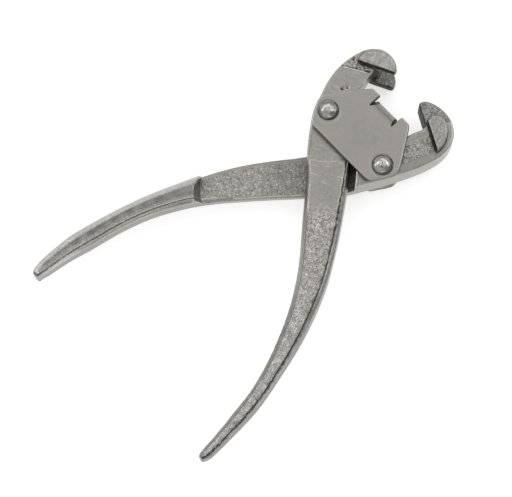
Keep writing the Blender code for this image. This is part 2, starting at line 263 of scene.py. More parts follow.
# ---------------------------------------------------------------- materials
class Nodes:
    """A short way to write a node tree."""

    def __init__(self, name):
        self.mat = bpy.data.materials.new(name)
        self.mat.use_nodes = True
        self.tree = self.mat.node_tree
        self.shader = self.tree.nodes["Principled BSDF"]
        self.coords = self.add("ShaderNodeTexCoord")

    def add(self, kind, **sets):
        node = self.tree.nodes.new(kind)
        for key, value in sets.items():
            setattr(node, key, value)
        return node

    def link(self, a, b):
        self.tree.links.new(a, b)

    def value(self, socket, given):
        if isinstance(given, (int, float)):
            socket.default_value = given
        elif isinstance(given, tuple):
            socket.default_value = given if len(given) != 3 or socket.type != "RGBA" else (*given, 1.0)
        else:
            self.link(given, socket)

    def math(self, op, a, b=None, clamp=False):
        node = self.add("ShaderNodeMath", operation=op, use_clamp=clamp)
        self.value(node.inputs[0], a)
        if b is not None:
            self.value(node.inputs[1], b)
        return node.outputs[0]

    def layer(self, name):
        return self.add("ShaderNodeAttribute", attribute_name=name).outputs["Fac"]

    def place(self, scale, turn=0.0):
        node = self.add("ShaderNodeMapping", vector_type="TEXTURE")
        self.link(self.coords.outputs["Object"], node.inputs["Vector"])
        node.inputs["Rotation"].default_value = (0, 0, turn)
        node.inputs["Scale"].default_value = tuple(1 / k for k in scale)
        return node.outputs["Vector"]

    def noise(self, size_mm, detail=2.0, rough=0.5, distortion=0.0, stretch=(1, 1, 1), turn=0.0):
        node = self.add("ShaderNodeTexNoise")
        s = 1000.0 / size_mm
        self.link(self.place(tuple(s * k for k in stretch), turn), node.inputs["Vector"])
        node.inputs["Scale"].default_value = 1.0
        node.inputs["Detail"].default_value = detail
        node.inputs["Roughness"].default_value = rough
        node.inputs["Distortion"].default_value = distortion
        return node.outputs["Fac"]

    def cells(self, size_mm, feature="F1"):
        node = self.add("ShaderNodeTexVoronoi", feature=feature)
        s = 1000.0 / size_mm
        self.link(self.place((s, s, s)), node.inputs["Vector"])
        node.inputs["Scale"].default_value = 1.0
        return node.outputs["Distance"]

    def ramp(self, fac, stops):
        node = self.add("ShaderNodeValToRGB")
        self.link(fac, node.inputs["Fac"])
        while len(node.color_ramp.elements) < len(stops):
            node.color_ramp.elements.new(0.5)
        for element, (at, colour) in zip(node.color_ramp.elements, stops):
            element.position = at
            element.color = (*colour, 1.0) if isinstance(colour, tuple) else (colour, colour, colour, 1.0)
        return node.outputs["Color"]

    def range(self, value, a, b, c, d):
        node = self.add("ShaderNodeMapRange")
        self.value(node.inputs["Value"], value)
        for key, given in (("From Min", a), ("From Max", b), ("To Min", c), ("To Max", d)):
            node.inputs[key].default_value = given
        return node.outputs["Result"]

    def mix(self, fac, a, b, blend="MIX"):
        node = self.add("ShaderNodeMix", data_type="RGBA", blend_type=blend)
        self.value(node.inputs["Factor"], fac)
        self.value(node.inputs["A"], a) if not isinstance(a, tuple) else setattr(node.inputs[6], "default_value", (*a, 1.0))
        if isinstance(b, tuple):
            node.inputs[7].default_value = (*b, 1.0)
        else:
            self.link(b, node.inputs[7])
        if not isinstance(a, tuple):
            for l in list(self.tree.links):
                if l.to_socket == node.inputs["A"] and node.inputs["A"] != node.inputs[6]:
                    self.tree.links.remove(l)
            self.link(a, node.inputs[6])
        return node.outputs[2]


def steel(name, colour, roughness, tint=None, scratch=0.0, scratch_turn=0.0, mottle=0.10, grain_bump=0.0, regions=False, rust_share=0.0):
    """Satin nickel-plated steel. regions reads the piece's layers: grain, ground, grime with painted shade, wear with
    painted highlight, and darker tone with painted shade.
    """
    k = Nodes(name)
    s = k.shader
    s.inputs["Metallic"].default_value = 1.0
    tint = tint or colour
    broad = k.noise(9.0, 3.0, 0.55, 0.3)
    fine = k.noise(1.1, 4.0, 0.62, 0.4)
    tiny = k.noise(0.35, 2.0, 0.6)
    base = k.mix(k.range(broad, 0.35, 0.65, 0.0, 1.0), colour, tint)
    shade = k.range(fine, 0.3, 0.7, 1.0 - mottle, 1.0 + mottle)
    if regions:
        grain, ground, grime_and_painted_shade, wear_and_painted_highlight, tone_and_painted_shade = (k.layer(n) for n in ("grain", "ground", "grime_and_painted_shade", "wear_and_painted_highlight", "tone_and_painted_shade"))
        coarse = k.noise(0.75, 3.0, 0.6, 0.8)
        worm = k.noise(1.3, 2.0, 0.55, 1.8)
        dim = k.range(k.noise(2.0, 3.0, 0.70, 1.2), 0.36, 0.64, 0.58, 1.24)
        vein = k.math("ABSOLUTE", k.math("SUBTRACT", k.noise(2.1, 2.0, 0.6, 1.6), 0.5))
        dim = k.math("MULTIPLY", dim, k.range(vein, 0.0, 0.06, 1.45, 0.86))
        fleck = k.range(k.noise(0.8, 1.0, 0.5, 0.5), 0.62, 0.72, 1.0, 1.9)
        dim = k.math("MULTIPLY", dim, fleck)
        shade = k.math("MULTIPLY", shade, k.math("ADD", 1.0, k.math("MULTIPLY", grain, k.math("SUBTRACT", dim, 1.0))))
        # Painted shade: darkens the colour on walls, flanks and recesses, with some darker tone.
        shade = k.math("MULTIPLY", shade, k.math("SUBTRACT", 1.0, tone_and_painted_shade))
        drawn = k.range(k.noise(0.9, 1.0, 0.5, 0.0, (0.09, 1.0, 1.0), scratch_turn - 0.25), 0.60, 0.70, 0.0, 0.48)
        polished = k.range(ground, 0.6, 0.95, 0.0, 1.0)
        shade = k.math("ADD", shade, k.math("MULTIPLY", k.math("MULTIPLY", drawn, polished), k.range(k.noise(7.0, 1.0, 0.5), 0.45, 0.6, 0.0, 1.0)))
    value = k.add("ShaderNodeMix", data_type="RGBA", blend_type="MULTIPLY")
    value.inputs["Factor"].default_value = 1.0
    k.link(base, value.inputs[6])
    k.link(shade, value.inputs[7])
    base = value.outputs[2]
    if regions:
        rust = k.math("MULTIPLY", k.range(k.noise(6.0, 2.0, 0.5, 0.5), 0.56, 0.74, 0.0, 0.35 * rust_share), grain)
        base = k.mix(rust, base, (0.34, 0.28, 0.18))
        # Painted shade: mixes towards near-black in creases, grooves, gaps and shaded walls, with some grime.
        base = k.mix(k.math("MULTIPLY", grime_and_painted_shade, 0.96, clamp=True), base, (0.028, 0.027, 0.026))
        # Painted highlight: mixes towards pale on convex edges and along bright lines and strips, with some edge wear.
        base = k.mix(k.math("MULTIPLY", wear_and_painted_highlight, 0.30, clamp=True), base, (0.80, 0.79, 0.76))
    k.link(base, s.inputs["Base Color"])
    rough = k.range(fine, 0.3, 0.7, roughness - 0.04, roughness + 0.05)
    if regions:
        rough = k.math("ADD", rough, k.math("MULTIPLY", grime_and_painted_shade, 0.35))
        rough = k.math("SUBTRACT", rough, k.math("MULTIPLY", grain, 0.04))
        rough = k.math("SUBTRACT", rough, k.math("MULTIPLY", wear_and_painted_highlight, 0.01), clamp=True)
    k.link(rough, s.inputs["Roughness"])
    # Relief, in metres
    height = k.math("MULTIPLY", tiny, 0.000006)
    lines = k.noise(0.42, 2.0, 0.6, 0.0, (0.10, 1.0, 1.0), scratch_turn)
    deep = k.range(k.noise(0.9, 1.0, 0.5, 0.0, (0.12, 1.0, 1.0), scratch_turn + 0.12), 0.60, 0.72, 0.0, 1.0)
    if regions:
        height = k.math("ADD", height, k.math("MULTIPLY", k.math("MULTIPLY", lines, ground), 0.000014))
        height = k.math("SUBTRACT", height, k.math("MULTIPLY", k.math("MULTIPLY", deep, ground), 0.000010))
        relief = k.math("ADD", k.math("MULTIPLY", coarse, 0.00030), k.math("MULTIPLY", worm, 0.00030))
        height = k.math("ADD", height, k.math("MULTIPLY", relief, k.math("MULTIPLY", grain, grain_bump)))
    else:
        height = k.math("ADD", height, k.math("MULTIPLY", lines, 0.000014 * scratch))
        height = k.math("SUBTRACT", height, k.math("MULTIPLY", deep, 0.000008 * scratch))
    bump = k.add("ShaderNodeBump")
    bump.inputs["Strength"].default_value = 1.0
    bump.inputs["Distance"].default_value = 1.0
    k.link(height, bump.inputs["Height"])
    k.link(bump.outputs["Normal"], s.inputs["Normal"])
    return k.mat


TURN = math.radians(VIEW_AZ)
fork_steel = steel("fork_skin", (0.475, 0.455, 0.42), 0.30, (0.445, 0.43, 0.405), scratch_turn=TURN, regions=True, grain_bump=1.0)
tongue_steel = steel("tongue_skin", (0.46, 0.443, 0.41), 0.30, (0.43, 0.418, 0.395), scratch_turn=TURN, regions=True, grain_bump=0.8, rust_share=1.0)
plate_steel = steel("plate_satin", (0.465, 0.445, 0.405), 0.33, (0.445, 0.43, 0.397), scratch=0.8, scratch_turn=TURN + 0.7, regions=True, mottle=0.03)
rivet_steel = steel("rivet_bright", (0.78, 0.765, 0.725), 0.15, (0.70, 0.69, 0.655), mottle=0.05, regions=True, grain_bump=0.12)
pin_metal = steel("pin_satin", (0.465, 0.445, 0.405), 0.34, (0.445, 0.43, 0.397), scratch=0.8, scratch_turn=TURN + 0.7, mottle=0.03)
anvil_metal = steel("anvil_ground", (0.40, 0.39, 0.37), 0.36, (0.33, 0.32, 0.305), scratch=2.0, scratch_turn=0.0, mottle=0.12)


# ---------------------------------------------------------------- levers
def half_width(along, inside, step=1.5):
    """The lever's local half width for each point: the most that any point near it lies inside the outline."""
    bins = np.floor((along - along.min()) / step).astype(int)
    most = np.zeros(bins.max() + 1)
    np.maximum.at(most, bins, inside)
    padded = np.concatenate([[most[0]], most, [most[-1]]])
    most = (padded[:-2] + padded[1:-1] + padded[2:]) / 3
    centres = along.min() + (np.arange(len(most)) + 0.5) * step
    return np.interp(along, centres, most)


def lever(name, rivet, outer_dir, wall_height, lap_side, side_widths, body, slot, mat, seed):
    """side_widths(along) gives how far in the handle's front face starts, on the marked side and on the other."""
    voxel = 0.37
    co, quads = fine_copy(name, voxel)
    edges = edges_of(quads)
    co = relax(co, edges, 2, 0.5)
    outline = outline_of(name, wall_height)
    inside, out_n = to_outline(co[:, :2], outline)
    rel = co[:, :2] - rivet
    along = np.linalg.norm(rel, axis=1) * np.sign(-rel[:, 1] + 1e-9)
    marked = smooth01(out_n @ outer_dir, -0.25, 0.25)
    width = half_width(along, inside)
    height = np.abs(co[:, 2])
    # The forged section: the sides lean in from the middle to the line where the front face starts.
    on_handle = smooth01(along, 16, 34)
    s_marked, s_other = side_widths(along)
    s = marked * s_marked + (1 - marked) * s_other
    s = np.minimum(s, 0.42 * width)
    s = 1.6 + (s - 1.6) * on_handle
    cad = np.where(height > 4.3, 1.6 - np.sqrt(np.clip(1.6**2 - np.clip(height - 4.3, 0, 1.6) ** 2, 0, None)), 0.0)
    lean = np.clip((height - 2.7) / 3.2, 0, 1) ** 1.5
    target = lean * s
    move = (target - cad) * on_handle
    fall = np.clip(1 - np.clip(inside - cad, 0, None) / np.maximum(width - cad, 0.5), 0, 1)
    move = move * fall
    head = (height > 6.05) | (along < 0)
    move[head] = 0.0
    swell = 0.34 * np.clip(1 - (height / 4.4) ** 2, 0, 1) * smooth01(along, 97, 120) * (1 - smooth01(along, 150, 162)) * fall
    swell = swell + 0.6 * (1 - marked) * np.clip(1 - (height / 6.6) ** 2, 0, 1) * smooth01(along, 146, 160)
    move = move - np.where(head, 0.0, swell)
    co[:, :2] -= out_n * move[:, None]
    co = relax(co, edges, 1, 0.4)
    inside = inside + move
    # A slight crown on the handle's faces, and a tip that thins.
    normal = normals_of(co, quads)
    facing = smooth01(np.abs(normal[:, 2]), 0.55, 0.9)
    crown = 0.55 * np.clip(1 - inside / np.maximum(width, 1.0), 0, 1) ** 2 * on_handle
    thin = 0.25 * smooth01(along, 150, 172)
    floor = (co[:, 2] * lap_side < 0.6) & (co[:, 2] * lap_side > -0.8) & (np.abs(normal[:, 2]) > 0.6)
    sign = np.sign(co[:, 2])
    co[:, 2] -= np.where(floor | head, 0.0, sign * (crown * facing + thin * np.clip(height / HALF, 0, 1)))
    return dict(
        co=co, quads=quads, edges=edges, inside=inside, out_n=out_n, along=along, marked=marked,
        width=width, s=s, on_handle=on_handle, floor=floor, head=head, normal=normal, name=name,
        body=body, slot=slot, mat=mat, seed=seed, rivet=rivet,
    )


def curvature(co, edges, normal, rounds):
    bend = ((neighbour_mean(co, edges) - co) * normal).sum(1)
    return spread(bend, edges, rounds)


def line_side(xy, a, b):
    """Signed distance of points from the line a to b, positive on its left."""
    a, b = np.array(a, float), np.array(b, float)
    d = (b - a) / np.linalg.norm(b - a)
    r = xy - a
    return d[0] * r[:, 1] - d[1] * r[:, 0]


def pits(co, at, radius, depth, height):
    """Small round hollows at points on a face at that height: how far each point drops."""
    drop = np.zeros(len(co))
    for (x, y), r, d in zip(at, radius, depth):
        q = np.sqrt((co[:, 0] - x) ** 2 + (co[:, 1] - y) ** 2 + (0.5 * (co[:, 2] - height)) ** 2) / r
        drop += d * np.exp(-(q**2) * 1.6)
    return drop


def fork_sides(along):
    marked = np.interp(along, [10, 20, 40, 70, 110, 150, 175], [1.8, 2.4, 2.7, 2.9, 2.7, 2.3, 2.0])
    other = np.interp(along, [10, 30, 70, 120, 175], [1.6, 1.8, 2.0, 2.0, 1.7])
    return marked, other


def tongue_sides(along):
    marked = np.interp(along, [10, 40, 80, 120, 175], [1.7, 2.1, 2.5, 2.5, 1.9])
    other = np.interp(along, [10, 40, 80, 120, 175], [1.6, 2.2, 3.2, 3.4, 2.2])
    return marked, other


def skin(v, grain, ground, grime_and_painted_shade, relief):
    """Roughens a lever by its layers and makes the piece."""
    co, edges, quads = v["co"], v["edges"], v["quads"]
    normal = normals_of(co, quads)
    bend = curvature(co, edges, normal, 2)
    hollow = np.clip(bend / 0.05, 0, 1)
    ridge = np.clip(-bend / 0.05, 0, 1)
    # Hollows and creases are painted darker as shade; convex ridges are painted lighter as edge wear and highlight,
    # with the painted highlight lines added on top.
    grime_and_painted_shade = np.clip(grime_and_painted_shade + 0.55 * smooth01(hollow, 0.25, 0.9), 0, 1)
    wear_and_painted_highlight = np.clip(0.5 * smooth01(ridge, 0.35, 1.0), 0, 1) * (1 - np.clip(grime_and_painted_shade * 2, 0, 1)) * (1 - 0.8 * smooth01(v["along"], 150, 162)) + v.get("shine", 0.0)
    q = co.copy()
    low = noise(q, 14.0, v["seed"]) * 0.10
    lumps = noise(q, 3.4, v["seed"] + 1) * 0.10
    crumb = noise(q + 0.35 * noise(q, 1.9, 5)[:, None], 1.55, v["seed"] + 2)
    ridged = 0.35 - np.abs(crumb)
    small = noise(q, 0.95, v["seed"] + 3)
    bumpy = ridged * 0.30 + small * 0.14
    shift = low * (0.3 + 0.7 * grain) + relief * (lumps * grain + bumpy * grain)
    shift -= 0.12 * grime_and_painted_shade * (v["s"] > 0)
    co = co + normal * shift[:, None]
    layers = dict(grain=grain, ground=ground, grime_and_painted_shade=grime_and_painted_shade, wear_and_painted_highlight=wear_and_painted_highlight, tone_and_painted_shade=np.clip(v["tone_and_painted_shade"], 0, 0.9))
    return new_piece(v["name"] + "_skin", co, quads, v["body"], [v["name"]], v["mat"], layers)


def build_fork():
    v = lever("lever_fork", FORK_RIVET, np.array((0.88, 0.47)), 3.0, -1, fork_sides, "fork_lever", "fork_plating", fork_steel, 11)
    co, along, inside, marked = v["co"], v["along"], v["inside"], v["marked"]
    n = normals_of(co, v["quads"])
    xy = co[:, :2]
    top = smooth01(np.abs(n[:, 2]), 0.6, 0.85)
    wobble = noise(co, 2.6, 21) * 0.7 + noise(co, 1.1, 22) * 0.35
    past_line = line_side(xy, (-32.4, 22.0), (-20.8, 29.3)) + 0.5 * wobble
    line = line_side(xy, (-32.4, 22.0), (-20.8, 29.3))
    hook = smooth01(past_line, -0.1, 0.5) * (along < 0)
    boss, _ = to_outline(xy, outline_of("lever_fork", 7.7, 0.75))
    rim_line = np.exp(-((boss / 0.52) ** 2)) * (co[:, 2] > 5.5) * (along < 0)
    moon = smooth01(np.abs(co[:, 2]), 8.6, 9.2)
    handle = smooth01(along + 5 * wobble, 46, 56)
    edge = np.clip(inside - v["s"], -3, 9)
    face = smooth01(edge, -0.25, 0.35)
    grain = top * face * handle
    side = (1 - top * face)
    grain = np.maximum(grain, (0.10 + 0.40 * (1 - marked) * smooth01(along, 78, 112)) * side)
    grain = np.maximum(grain, hook * top * smooth01(inside, 1.2, 2.4) * (1 - moon) * 0.95)
    grain = np.maximum(grain, 0.55 * moon * top)
    prong = (co[:, 2] < -5.5) & (along < 0) & (xy[:, 1] > 27)
    grain = np.where(prong, np.maximum(grain, 0.75), grain)
    ground = top * (1 - grain)
    # The seam where the linished side meets the rough face: its dark line is painted shade in the groove.
    jag = noise(co, 1.0, 31) * 0.55 + noise(co, 2.2, 32) * 0.45
    wide = np.interp(along, [10, 30, 55, 90, 130, 175], [0.36, 0.36, 0.62, 0.58, 0.42, 0.36])
    seam = np.exp(-(((inside - v["s"] + jag + 0.1) / wide) ** 2)) * marked * smooth01(along, 12, 22) * (along > 0)
    seam *= (np.abs(co[:, 2]) > 3.6) * np.clip(1.0 + 1.1 * noise(co, 2.6, 33), 0.4, 1)
    # A faint painted shade line where the other side meets the face.
    inner = np.exp(-(((inside - v["s"] + 0.5 * jag) / 0.3) ** 2)) * (1 - marked) * smooth01(along, 45, 60)
    inner *= (np.abs(co[:, 2]) > 3.6) * 0.10
    # Painted shade on the jaw walls below the half-moon: dark low down, and on the upper wall strongest near its top
    # edge and towards the right.
    wall = (1 - smooth01(np.abs(n[:, 2]), 0.3, 0.6)) * (along < 0) * (xy[:, 1] > 24)
    jaw = smooth01(-(n[:, :2] @ np.array((-0.448, 0.894))), 0.2, 0.5) * (along < 0) * (xy[:, 1] > 24)
    under = 0.12 + 0.88 * smooth01(co[:, 2], 6.9, 8.6)
    chord = np.where(co[:, 2] > 5.2, (0.26 + 0.40 * smooth01(xy[:, 0], -25, -14)) * under, 0.82)
    grime_and_painted_shade = seam + inner + chord * jaw
    strip = hook * (1 - moon) * smooth01(inside, 0.5, 1.3) * top * (xy[:, 1] < 36)
    spots = smooth01(noise(co, 1.7, 41) + 0.6 * noise(co, 0.8, 42), 0.0, 0.42)
    # The back prong's inner face is painted darker as shade, and a painted shade line runs round the half-moon's
    # outline.
    grime_and_painted_shade = grime_and_painted_shade + 0.62 * strip * spots + 0.30 * prong * top + 0.72 * rim_line * np.clip(0.9 + noise(co, 2.0, 43), 0, 1)
    # A painted shade line just above the ground flat's edge, and a painted highlight along the edge itself.
    grime_and_painted_shade = grime_and_painted_shade + 0.55 * np.exp(-(((line - 0.55) / 0.40) ** 2)) * top * (along < 0) * (np.abs(co[:, 2]) > 4.6) * (co[:, 2] < 6.6) * (1 - moon) * np.clip(0.7 + 1.2 * noise(co, 1.8, 47), 0.2, 1)
    v["shine"] = 3.2 * np.exp(-(((line + 0.10) / 0.24) ** 2)) * top * (along < 0) * (np.abs(co[:, 2]) > 4.6) * (co[:, 2] < 6.6) * smooth01(inside, 1.4, 2.4)
    # Painted shade: flanks, shoulders and upright walls darker, more so towards the tip and on the other side; painted
    # highlight: a lighter strip past the seam and patches on the handle's face.
    flank = 1 - smooth01(np.abs(n[:, 2]), 0.45, 0.8)
    shoulder = np.clip(1 - face, 0, 1) * smooth01(along, 8, 20)
    upright = 1 - smooth01(np.abs(n[:, 2]), 0.12, 0.42)
    v["tone_and_painted_shade"] = np.maximum(flank, shoulder) * ((0.03 + 0.26 * smooth01(along, 88, 122) + 0.30 * upright) * marked + (0.32 + 0.18 * smooth01(along, 80, 118) + 0.10 * upright) * (1 - marked)) * (1 + 0.25 * noise(co, 3.0, 44))
    past_seam = smooth01(v["s"] - inside, 0.30, 0.60) * (1 - smooth01(v["s"] - inside, 1.5, 2.1)) * marked
    v["shine"] += 1.1 * past_seam * smooth01(along, 55, 75) * (1 - 0.85 * smooth01(along, 88, 108)) * (np.abs(co[:, 2]) > 2.4)
    v["shine"] += 0.9 * handle * top * face * smooth01(along, 84, 112) * np.clip(0.45 + 1.5 * noise(co, 2.2, 99), 0, 1.4)
    v["tone_and_painted_shade"] += flank * (0.10 * upright * marked + 0.08 * (1 - marked)) * smooth01(along, 70, 100)
    v["tone_and_painted_shade"] = np.where(along < 0, v["tone_and_painted_shade"] * 0.8, v["tone_and_painted_shade"]) + 0.10 * prong + 0.06 * handle * top * face
    co[:, 2] -= np.sign(co[:, 2]) * 0.28 * strip * spots
    step = smooth01(-past_line, 0.0, 0.45) * (along < 26) * (np.abs(co[:, 2]) > 4.6) * (inside > 0.9)
    co[:, 2] -= np.sign(co[:, 2]) * 0.22 * step * top
    hollows = [(-26.8, 9.9), (-24.0, 13.4), (-23.4, 14.5), (-22.6, 16.1), (-27.4, 13.5)]
    uneven = co + 0.9 * np.stack([noise(co, 1.4, 45), noise(co, 1.4, 46), np.zeros(len(co))], 1)
    drop = pits(uneven, hollows, [0.55, 1.0, 0.7, 0.95, 0.4], [0.18, 0.42, 0.25, 0.40, 0.10], HALF) * (co[:, 2] > 0)
    co[:, 2] -= drop
    # The hollows are painted darker as shade, by their depth.
    grime_and_painted_shade = grime_and_painted_shade + np.clip(drop * 2.0, 0, 0.72)
    # The seam is a real groove, and the ground flat keeps shallow tool marks.
    co -= n * (seam * 0.32)[:, None]
    marks = noise(np.stack([co[:, :2] @ ALONG_VIEW * 0.16, co[:, :2] @ np.array((-ALONG_VIEW[1], ALONG_VIEW[0])), co[:, 2]], 1), 0.9, 51)
    co[:, 2] += np.sign(co[:, 2]) * marks * 0.012 * ground
    v["co"] = co
    return skin(v, np.clip(grain, 0, 1), np.clip(ground, 0, 1), np.clip(grime_and_painted_shade, 0, 1), 1.0)


def scoop(v):
    """The lap's far end runs up from a chord of its round cut to the handle's face, and shades off at the marked edge."""
    co = v["co"]
    rel = co[:, :2] - np.array((-22.8, -65.6))
    t = rel @ np.array((-0.53, -0.85))
    side = rel @ np.array((0.85, -0.53))
    arc = np.sqrt(np.clip(15.1**2 - side**2, 1, None))
    start = 10.4 + 0.35 * noise(co, 2.0, 92)
    f = np.clip((t - start) / np.maximum(arc - start, 0.6), 0, 1)
    top = HALF - 0.15 - 0.55 * np.clip(1 - v["inside"] / np.maximum(v["width"], 1.0), 0, 1) ** 2
    ramp = -0.2 + (top + 0.2) * f**1.35
    inside_cut = (t > start) & (t < arc + 0.25) & (co[:, 2] > -0.6) & (co[:, 2] < ramp)
    co[:, 2] = np.where(inside_cut, ramp, co[:, 2])
    near = smooth01(t, start - 0.8, start + 0.4) * (t < arc + 0.9) * (co[:, 2] > -1.2)
    v["co"] = relax(co, v["edges"], 6, 0.5, near)
    return smooth01(t, start - 0.2, start + 0.5) * (1 - smooth01(t, arc - 0.15, arc + 0.35)) * (co[:, 2] > -0.6)


def build_tongue():
    v = lever("lever_tongue", TONGUE_RIVET, np.array((0.85, -0.53)), -3.0, 1, tongue_sides, "tongue_lever", "tongue_plating", tongue_steel, 61)
    run_up = scoop(v)
    co, along, inside, marked = v["co"], v["along"], v["inside"], v["marked"]
    n = normals_of(co, v["quads"])
    xy = co[:, :2]
    top = smooth01(np.abs(n[:, 2]), 0.6, 0.85)
    wobble = noise(co, 2.6, 71) * 0.7 + noise(co, 1.1, 72) * 0.35
    moon = smooth01(np.abs(co[:, 2]), 8.6, 9.2)
    face = smooth01(inside - v["s"], -0.25, 0.4)
    floor = smooth01(np.abs(co[:, 2] + 0.2), 0.9, 0.4) * top * (along > 0)
    far = smooth01(along, 74, 82)
    # Handle: smooth upper side, a rougher middle towards the tip.
    middle = np.exp(-(((inside - 0.62 * v["width"]) / (0.30 * v["width"] + 0.4)) ** 2))
    handle = far * top * face * (0.10 + 0.34 * middle * smooth01(along, 95, 140) + 0.10 * marked)
    hook = (along < 4) * top * smooth01(inside + wobble, 3.6, 5.4) * (1 - moon)
    jaw_tip = (along < 0) * top * (1 - moon) * smooth01(line_side(xy, (17.3, 31.8), (24.0, 40.0)) + wobble * 0.5, -0.4, 0.6)
    grain = np.maximum.reduce([0.09 * np.ones(len(co)), handle, 1.15 * hook, 0.95 * jaw_tip * smooth01(inside, 0.3, 1.2), 0.50 * moon * top, 0.85 * floor * smooth01(inside, 0.8, 2.2)])
    back = (co[:, 2] < -3) & (along > 30)
    grain = np.where(back, np.maximum(grain, 0.6 * top * face * smooth01(along, 40, 60)), grain)
    ground = top * (1 - grain) * (1 - floor)
    jag = noise(co, 0.9, 81) * 0.25 + noise(co, 3.0, 82) * 0.2
    broken = smooth01(noise(co, 2.4, 83), -0.55, -0.05)
    # The seam's dark line is painted shade in its groove; the lower edge line is painted mostly as highlight, with a
    # little shade.
    seam = np.exp(-(((inside - v["s"] + 0.42 + 0.5 * jag) / 0.24) ** 2)) * marked * broken * smooth01(along, 66, 76) * (np.abs(co[:, 2]) > 3.2)
    lower = np.exp(-(((inside - 1.2 + 0.6 * jag) / 0.28) ** 2)) * marked * broken * smooth01(np.abs(co[:, 2] + 0.3), 1.2, 0.5) * (along > 20) * (along < 74)
    wall = (1 - smooth01(np.abs(n[:, 2]), 0.35, 0.65))
    crescent = run_up * smooth01(inside, 0.6, 1.6) * np.clip(0.85 + 0.5 * noise(co, 1.6, 84), 0, 1)
    boss, _ = to_outline(xy, outline_of("lever_tongue", 7.0, 0.75))
    rim_line = np.exp(-((boss / 0.50) ** 2)) * (co[:, 2] > 5.5) * (along < 0)
    near = wall * (co[:, 2] > -0.6) * (along > 4) * (along < 30) * smooth01(inside, 0.5, 1.4)
    from_cut = (xy - np.array((-22.8, -65.6))) @ np.array((-0.53, -0.85))
    debris = floor * np.exp(-(((from_cut - 9.6) / 0.9) ** 2)) * smooth01(noise(co, 0.9, 91) + 0.25, 0.1, 0.45)
    jaw = (along < 0) * (xy[:, 1] > 24) * smooth01(n[:, :2] @ np.array((-0.448, -0.894)), 0.2, 0.5)
    # Painted highlight: bright lines along the lower edge and the seam, and lighter strips below the seam and above the
    # other edge.
    v["shine"] = 2.8 * lower + 2.4 * np.exp(-(((inside - v["s"] - 0.16 + 0.5 * jag) / 0.26) ** 2)) * marked * broken * smooth01(along, 78, 90)
    below = smooth01(v["s"] - inside, 0.62, 0.95) * (1 - smooth01(v["s"] - inside, 1.7, 2.2)) * marked
    above = (1 - marked) * smooth01(inside, 0.9, 1.8) * (1 - smooth01(inside - v["s"], 0.7, 1.7))
    v["shine"] += far * (1.5 * below * (1 - 0.6 * smooth01(along, 105, 140)) + 1.0 * above * (1 - 0.7 * smooth01(along, 125, 155))) * (np.abs(co[:, 2]) > 2.2) * (1 - run_up)
    jaw = jaw * np.where(np.abs(co[:, 2]) > 5.6, 0.22 + 0.78 * smooth01(np.abs(co[:, 2]), 7.2, 8.8), 1.0)
    # Painted shade: the seam, the lap wall near the handle, the jaw walls, the half-moon's outline, the run-up
    # crescent, and the lap floor towards its near end.
    grime_and_painted_shade = 0.85 * seam + 0.06 * lower + 0.10 * crescent + 0.85 * near + 0.22 * debris + 0.85 * jaw + 0.75 * rim_line * np.clip(0.9 + noise(co, 2.0, 85), 0, 1)
    grime_and_painted_shade = grime_and_painted_shade + 0.72 * floor * smooth01(along, 33, 25) * np.clip(0.85 + noise(co, 1.2, 87), 0, 1)
    # Painted shade: flanks, upright walls, the run-up crescent and the lap floor darker; the band along the handle's
    # face is darker in streaks, and the jaw tip and hook a little darker.
    flank = 1 - smooth01(np.abs(n[:, 2]), 0.45, 0.8)
    reach_in = inside - v["s"]
    band = smooth01(reach_in, 0.8, 1.8) * (1 - marked) + smooth01(reach_in, 1.0, 2.1) * marked
    band *= far * top * (1 - smooth01(run_up, 0.2, 0.8)) * smooth01(along, 84, 100)
    streaks = np.clip(0.9 + 0.9 * noise(co * np.array((0.6, 0.6, 1.0)), 2.6, 86), 0.3, 1.2)
    upright = 1 - smooth01(np.abs(n[:, 2]), 0.12, 0.42)
    v["tone_and_painted_shade"] = flank * (0.02 + 0.16 * upright + (0.16 * marked * upright + 0.12 * (1 - marked)) * smooth01(along, 76, 100)) + 0.42 * band * streaks + 0.22 * crescent
    v["tone_and_painted_shade"] += 0.26 * jaw_tip * top + 0.10 * hook + 0.05 * (along < 40) * top * (1 - floor)
    v["tone_and_painted_shade"] += floor * (0.12 + 0.27 * smooth01(along, 66, 38)) * (1 - run_up)
    co -= n * (seam * 0.20)[:, None]
    co -= n * (lower * 0.12)[:, None]
    co[:, 2] += debris * (0.15 + 0.35 * noise(co, 0.8, 92))
    v["co"] = co
    return skin(v, np.clip(grain, 0, 1.15), np.clip(ground, 0, 1), np.clip(grime_and_painted_shade, 0, 1), 1.0)


# ---------------------------------------------------------------- plates, rivets, pins
def waves(co):
    """How far a plate's outer face stands off flat, the same for the pins that end in it."""
    q = co.copy()
    q[:, 2] = np.sign(q[:, 2]) * 8.8
    return noise(q, 16.0, 3) * 0.16 + noise(q, 6.0, 4) * 0.022 - 0.02


